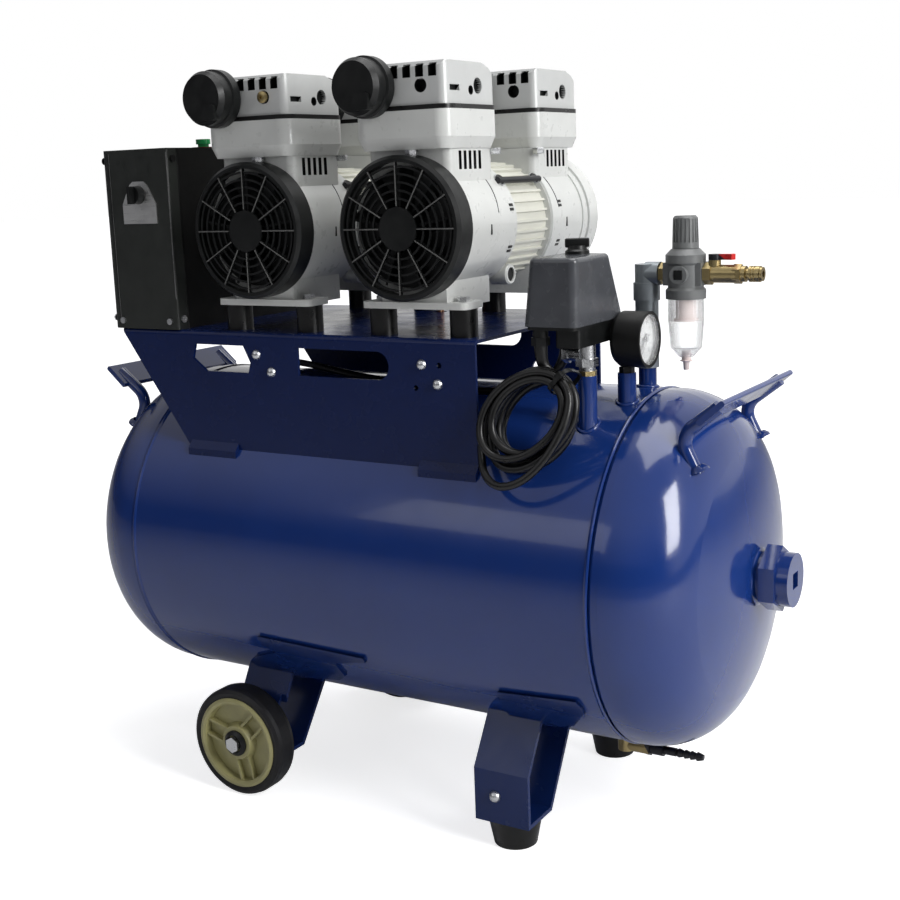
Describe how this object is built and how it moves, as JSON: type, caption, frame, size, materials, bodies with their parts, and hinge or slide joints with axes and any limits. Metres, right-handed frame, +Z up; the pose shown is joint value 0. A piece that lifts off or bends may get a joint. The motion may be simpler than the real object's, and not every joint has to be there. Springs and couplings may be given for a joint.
{
  "type": "portable oil-free air compressor",
  "caption": "Portable oil-free air compressor: blue lying tank on wheels and feet, with twin pumps, control box, pressure switch, gauge and filter-regulator",
  "frame": {"origin": "on the ground, under the middle of the tank's length and width", "axes": "+X along the tank towards the pressure switch and outlet, +Y to the rear, away from the selector knob, +Z up"},
  "size_m": [0.75, 0.325, 0.7075],
  "materials": {
    "tank_blue": "gloss",
    "bracket_navy": "satin",
    "pump_grey": "satin",
    "cast_aluminium": "satin",
    "black_plastic": "matte",
    "black_paint": "matte",
    "dark_grey_plastic": "satin",
    "grey_plastic": "satin",
    "rubber_black": "matte",
    "tyre_rubber": "matte",
    "cream_plastic": "satin",
    "zinc": "satin",
    "brass": "satin",
    "steel": "satin",
    "copper": "satin",
    "red_plastic": "gloss",
    "green_plastic": "gloss",
    "clear_bowl": "clear",
    "white_paint": "matte",
    "pale_plastic": "matte"
  },
  "bodies": {
    "tank": {"tank_shell": "tank_blue", "dished_ends": "tank_blue", "end_plugs": "tank_blue", "tank_ports": "tank_blue", "tank_legs": "bracket_navy", "rubber_feet": "rubber_black", "zinc_screws": "zinc", "wheel_axles": "zinc", "saddle_bracket": "bracket_navy", "carry_handles": "tank_blue", "control_box_body": "black_paint", "control_box_lid": "black_paint", "selector_plate": "zinc", "button_bezel": "red_plastic", "start_capacitors": "black_plastic", "crankcases": "pump_grey", "cylinder_collars": "pump_grey", "cylinder_heads": "cast_aluminium", "fan_covers": "black_plastic", "motor_shells": "pump_grey", "head_gaskets": "rubber_black", "intake_filters": "black_plastic", "pistons": "cast_aluminium", "shaft_bearings": "steel", "rubber_mounts": "rubber_black", "delivery_tubes": "copper", "check_valve": "brass", "pressure_switch_cover": "dark_grey_plastic", "pressure_switch_base": "black_plastic", "cable_glands": "black_plastic", "switch_manifold": "zinc", "gauge_case": "black_paint", "gauge_dial": "white_paint", "gauge_lens": "clear_bowl", "riser_elbow": "zinc", "regulator_body": "grey_plastic", "regulator_bowl": "clear_bowl", "filter_element": "pale_plastic", "outlet_fittings": "brass", "drain_valve": "brass", "power_cord": "rubber_black", "power_cord_hank": "rubber_black", "power_plug": "rubber_black", "switch_cable": "rubber_black"},
    "front_wheel": {"front_wheel_hub": "cream_plastic", "front_wheel_tyre": "tyre_rubber"},
    "rear_wheel": {"rear_wheel_hub": "cream_plastic", "rear_wheel_tyre": "tyre_rubber"},
    "left_rotor": {"left_pump_rotor": "steel", "left_pump_fans": "black_plastic"},
    "right_rotor": {"right_pump_rotor": "steel", "right_pump_fans": "black_plastic"},
    "selector": {"selector_knob": "black_plastic"},
    "push_button": {"start_button": "green_plastic"},
    "needle": {"gauge_needle": "black_paint"},
    "setting_screw": {"regulator_screw": "steel"},
    "setting_knob": {"regulator_knob": "grey_plastic"},
    "outlet_handle": {"outlet_lever": "red_plastic"},
    "coupler_collar": {"quick_coupler_sleeve": "brass"},
    "drain_handle": {"drain_lever": "red_plastic"}
  },
  "joints": [
    {"name": "front_wheel_spin", "type": "hinge", "parent": "tank", "child": "front_wheel", "pos_m": [-0.143, -0.14, 0.055], "axis": [0, 1, 0], "continuous": true},
    {"name": "rear_wheel_spin", "type": "hinge", "parent": "tank", "child": "rear_wheel", "pos_m": [-0.143, 0.14, 0.055], "axis": [0, 1, 0], "continuous": true},
    {"name": "left_rotor_spin", "type": "hinge", "parent": "tank", "child": "left_rotor", "pos_m": [-0.103, 0, 0.56], "axis": [0, 1, 0], "continuous": true},
    {"name": "right_rotor_spin", "type": "hinge", "parent": "tank", "child": "right_rotor", "pos_m": [0.066, 0, 0.56], "axis": [0, 1, 0], "continuous": true},
    {"name": "selector_turn", "type": "hinge", "parent": "tank", "child": "selector", "pos_m": [-0.243, -0.13, 0.596], "axis": [0, 1, 0], "range_deg": [0, 90]},
    {"name": "button_press", "type": "slide", "parent": "tank", "child": "push_button", "axis": [0, 0, -1], "range_m": [0, 0.003], "stiffness_N_per_m": 300, "springref_m": -0.002},
    {"name": "needle_turn", "type": "hinge", "parent": "tank", "child": "needle", "pos_m": [0.2528, -0.04, 0.4585], "axis": [1, 0, 0], "range_deg": [0, 270]},
    {"name": "setting_turn", "type": "hinge", "parent": "tank", "child": "setting_screw", "pos_m": [0.2695, 0.015, 0.54], "axis": [0, 0, 1], "range_deg": [0, 1440]},
    {"name": "knob_lift", "type": "slide", "parent": "setting_screw", "child": "setting_knob", "axis": [0, 0, 1], "range_m": [0, 0.004]},
    {"name": "outlet_turn", "type": "hinge", "parent": "tank", "child": "outlet_handle", "pos_m": [0.2965, 0.015, 0.525], "axis": [0, 0, 1], "range_deg": [0, 90]},
    {"name": "coupler_pull", "type": "slide", "parent": "tank", "child": "coupler_collar", "axis": [-1, 0, 0], "range_m": [0, 0.003], "stiffness_N_per_m": 400, "springref_m": -0.002},
    {"name": "drain_turn", "type": "hinge", "parent": "tank", "child": "drain_handle", "pos_m": [0.24, 0, 0.075], "axis": [0, 0, 1], "range_deg": [0, 90]}
  ]
}
